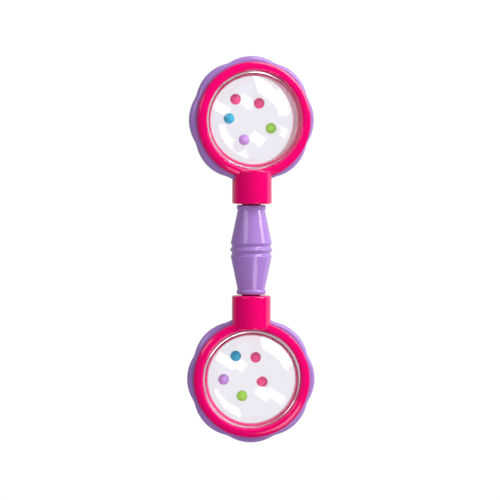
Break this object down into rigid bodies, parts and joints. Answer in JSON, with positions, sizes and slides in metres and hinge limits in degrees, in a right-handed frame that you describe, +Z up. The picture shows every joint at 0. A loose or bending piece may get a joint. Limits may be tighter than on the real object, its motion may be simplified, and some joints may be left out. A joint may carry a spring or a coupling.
{
  "type": "baby rattle",
  "caption": "Dumb-bell hand rattle: ribbed grip, swivelling round heads with clear domes, loose beads and scalloped rims.",
  "frame": {"origin": "on the surface that the rattle lies on, below the middle of the grip", "axes": "+X across the heads, +Y along the long axis to the upper head, +Z up, the way the front domes face"},
  "size_m": [0.0588, 0.1778, 0.0307],
  "materials": {
    "purple_plastic": "glossy moulded plastic",
    "magenta_plastic": "glossy moulded plastic",
    "clear_plastic": "clear polished plastic",
    "bead_pink": "satin moulded plastic",
    "bead_cyan": "satin moulded plastic",
    "bead_lime": "satin moulded plastic",
    "bead_lilac": "satin moulded plastic"
  },
  "bodies": {
    "handle": {"handle_front_half": "purple_plastic", "handle_rear_half": "purple_plastic"},
    "upper_head": {"upper_frame_front": "magenta_plastic", "upper_frame_rear": "magenta_plastic", "upper_scalloped_ring": "purple_plastic", "upper_dome_front": "clear_plastic", "upper_dome_rear": "clear_plastic"},
    "upper_bead_pink_left": {"upper_bead_pink_left": "bead_pink"},
    "upper_bead_pink_right": {"upper_bead_pink_right": "bead_pink"},
    "upper_bead_cyan": {"upper_bead_cyan": "bead_cyan"},
    "upper_bead_lime": {"upper_bead_lime": "bead_lime"},
    "upper_bead_lilac": {"upper_bead_lilac": "bead_lilac"},
    "lower_head": {"lower_frame_front": "magenta_plastic", "lower_frame_rear": "magenta_plastic", "lower_scalloped_ring": "purple_plastic", "lower_dome_front": "clear_plastic", "lower_dome_rear": "clear_plastic"},
    "lower_bead_pink_top": {"lower_bead_pink_top": "bead_pink"},
    "lower_bead_pink_low": {"lower_bead_pink_low": "bead_pink"},
    "lower_bead_cyan": {"lower_bead_cyan": "bead_cyan"},
    "lower_bead_lime": {"lower_bead_lime": "bead_lime"},
    "lower_bead_lilac": {"lower_bead_lilac": "bead_lilac"}
  },
  "joints": [
    {"name": "upper_head_swivel", "type": "hinge", "parent": "handle", "child": "upper_head", "pos_m": [0, 0.0125, 0.01535], "axis": [0, 1, 0], "continuous": true},
    {"name": "upper_bead_pink_left_travel", "type": "slide", "parent": "upper_head", "child": "upper_bead_pink_left", "axis": [0.0915, 0, 0.9958], "range_m": [0, 0.01714]},
    {"name": "upper_bead_pink_right_travel", "type": "slide", "parent": "upper_head", "child": "upper_bead_pink_right", "axis": [0.0915, 0, 0.9958], "range_m": [0, 0.01811]},
    {"name": "upper_bead_cyan_travel", "type": "slide", "parent": "upper_head", "child": "upper_bead_cyan", "axis": [0.0915, 0, 0.9958], "range_m": [0, 0.01924]},
    {"name": "upper_bead_lime_travel", "type": "slide", "parent": "upper_head", "child": "upper_bead_lime", "axis": [0.0915, 0, 0.9958], "range_m": [0, 0.01623]},
    {"name": "upper_bead_lilac_travel", "type": "slide", "parent": "upper_head", "child": "upper_bead_lilac", "axis": [0.0915, 0, 0.9958], "range_m": [0, 0.01869]},
    {"name": "lower_head_swivel", "type": "hinge", "parent": "handle", "child": "lower_head", "pos_m": [0, -0.0125, 0.01535], "axis": [0, 1, 0], "continuous": true},
    {"name": "lower_bead_pink_top_travel", "type": "slide", "parent": "lower_head", "child": "lower_bead_pink_top", "axis": [-0.0915, 0, 0.9958], "range_m": [0, 0.01834]},
    {"name": "lower_bead_pink_low_travel", "type": "slide", "parent": "lower_head", "child": "lower_bead_pink_low", "axis": [-0.0915, 0, 0.9958], "range_m": [0, 0.02021]},
    {"name": "lower_bead_cyan_travel", "type": "slide", "parent": "lower_head", "child": "lower_bead_cyan", "axis": [-0.0915, 0, 0.9958], "range_m": [0, 0.01651]},
    {"name": "lower_bead_lime_travel", "type": "slide", "parent": "lower_head", "child": "lower_bead_lime", "axis": [-0.0915, 0, 0.9958], "range_m": [0, 0.01849]},
    {"name": "lower_bead_lilac_travel", "type": "slide", "parent": "lower_head", "child": "lower_bead_lilac", "axis": [-0.0915, 0, 0.9958], "range_m": [0, 0.01618]}
  ]
}
